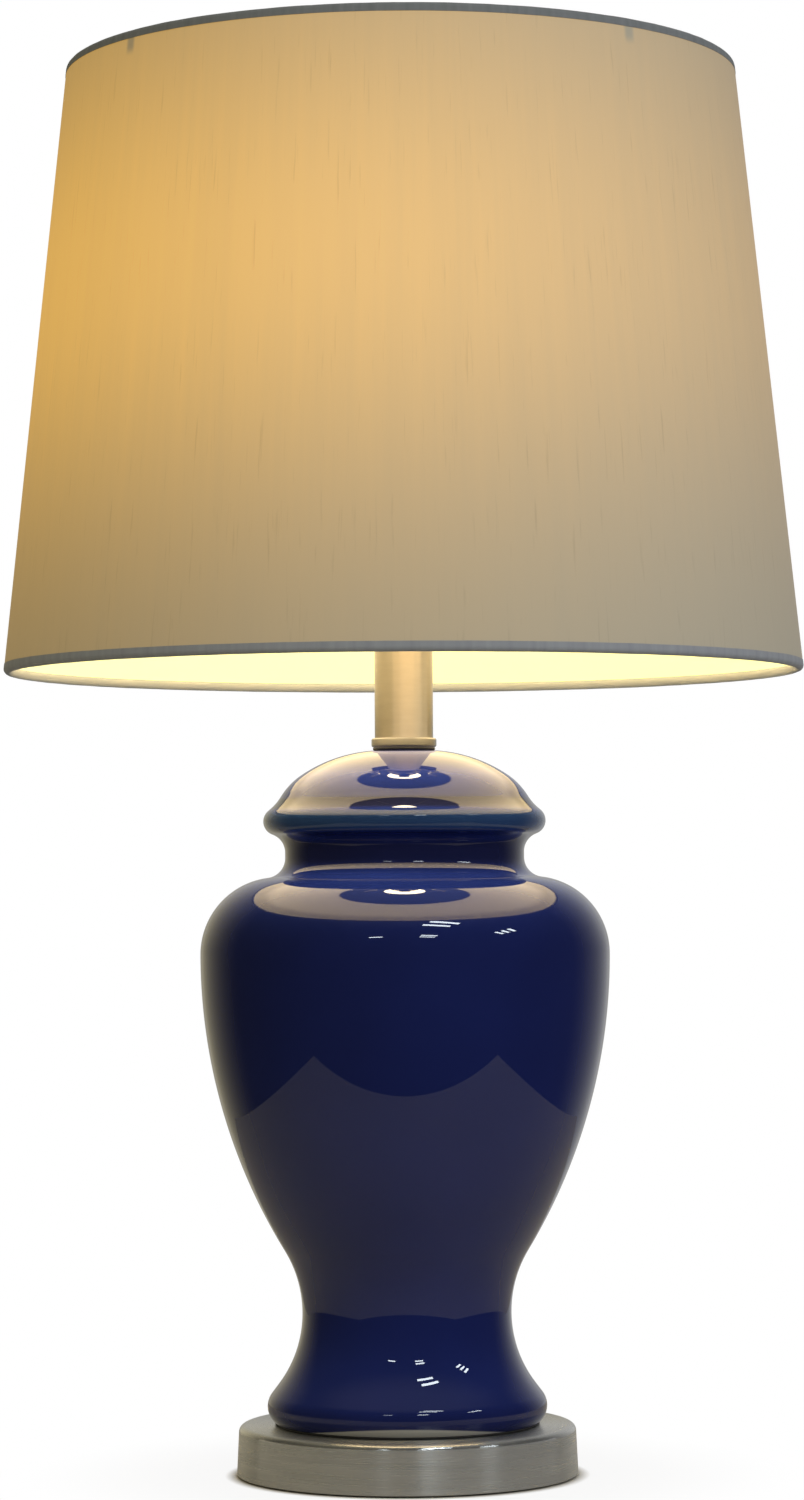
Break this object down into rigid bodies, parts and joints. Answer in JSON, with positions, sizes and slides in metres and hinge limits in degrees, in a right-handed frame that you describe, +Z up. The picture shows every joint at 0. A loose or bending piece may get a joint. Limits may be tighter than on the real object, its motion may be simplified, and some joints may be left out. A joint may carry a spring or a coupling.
{
  "type": "table lamp",
  "caption": "Table lamp with a glazed ginger-jar body on a round metal base, a metal neck, a switched socket and a tapered fabric shade carried by a harp.",
  "frame": {"origin": "centre of the foot, on the surface the lamp stands on", "axes": "+Z up along the lamp's axis, +Y to the back where the cord inlet is, front and switch towards -Y"},
  "size_m": [0.3555, 0.3556, 0.6258],
  "materials": {
    "felt": "dark felt",
    "brushed_nickel": "brushed nickel plate",
    "plated_steel": "zinc-plated steel",
    "cast_iron": "as cast",
    "black_plastic": "moulded",
    "gasket_rubber": "matte",
    "cobalt_glaze": "deep blue gloss glaze",
    "nickel_plate": "bright nickel plate",
    "socket_card": "pressed card",
    "socket_phenolic": "moulded phenolic",
    "contact_brass": "plain brass",
    "bulb_glass": "frosted white",
    "bulb_metal": "rolled",
    "bulb_black_glass": "fused black glass",
    "shade_cloth": "slubbed off-white weave",
    "shade_styrene": "white sheet",
    "shade_wire": "white enamel"
  },
  "bodies": {
    "lamp": {"felt_pad": "felt", "base_pan": "brushed_nickel", "base_weight": "cast_iron", "base_washer": "plated_steel", "base_nut": "plated_steel", "threaded_rod": "plated_steel", "cord_bushing": "black_plastic", "foot_gasket": "gasket_rubber", "jar": "cobalt_glaze", "neck_gasket": "gasket_rubber", "check_ring": "brushed_nickel", "neck_tube": "brushed_nickel", "neck_cap": "brushed_nickel", "harp_saddle": "nickel_plate", "socket_cap": "nickel_plate", "socket_shell": "nickel_plate", "socket_liner": "socket_card", "socket_body": "socket_phenolic", "socket_screw_shell": "contact_brass", "centre_contact": "contact_brass", "terminal_screws": "contact_brass"},
    "switch": {"switch_shaft": "contact_brass", "switch_knob": "black_plastic"},
    "bulb": {"bulb_tip": "contact_brass", "bulb_insulator": "bulb_black_glass", "bulb_screw_base": "bulb_metal", "bulb_globe": "bulb_glass"},
    "harp": {"harp_wire": "nickel_plate", "harp_stud": "nickel_plate"},
    "left_sleeve": {"harp_sleeve_left": "nickel_plate"},
    "right_sleeve": {"harp_sleeve_right": "nickel_plate"},
    "shade": {"shade_fabric": "shade_cloth", "shade_liner": "shade_styrene", "shade_top_ring": "shade_wire", "shade_bottom_ring": "shade_wire", "shade_top_hem": "shade_cloth", "shade_bottom_hem": "shade_cloth", "spider_arms": "shade_wire", "spider_hub": "shade_wire"},
    "finial": {"finial": "nickel_plate"}
  },
  "joints": [
    {"name": "switch_turn", "type": "hinge", "parent": "lamp", "child": "switch", "pos_m": [0, 0, 0.406], "axis": [0, -1, 0], "continuous": true},
    {"name": "bulb_turn", "type": "hinge", "parent": "lamp", "child": "bulb", "pos_m": [0, 0, 0.44], "axis": [0, 0, 1], "continuous": true},
    {"name": "harp_lift", "type": "slide", "parent": "lamp", "child": "harp", "axis": [0, 0, 1], "range_m": [0, 0.03]},
    {"name": "left_sleeve_slide", "type": "slide", "parent": "harp", "child": "left_sleeve", "axis": [0, 0, 1], "range_m": [0, 0.014]},
    {"name": "right_sleeve_slide", "type": "slide", "parent": "harp", "child": "right_sleeve", "axis": [0, 0, 1], "range_m": [0, 0.014]},
    {"name": "shade_swivel", "type": "hinge", "parent": "harp", "child": "shade", "pos_m": [0, 0, 0.5993], "axis": [0, 0, 1], "continuous": true},
    {"name": "finial_turn", "type": "hinge", "parent": "harp", "child": "finial", "pos_m": [0, 0, 0.61], "axis": [0, 0, 1], "continuous": true}
  ]
}
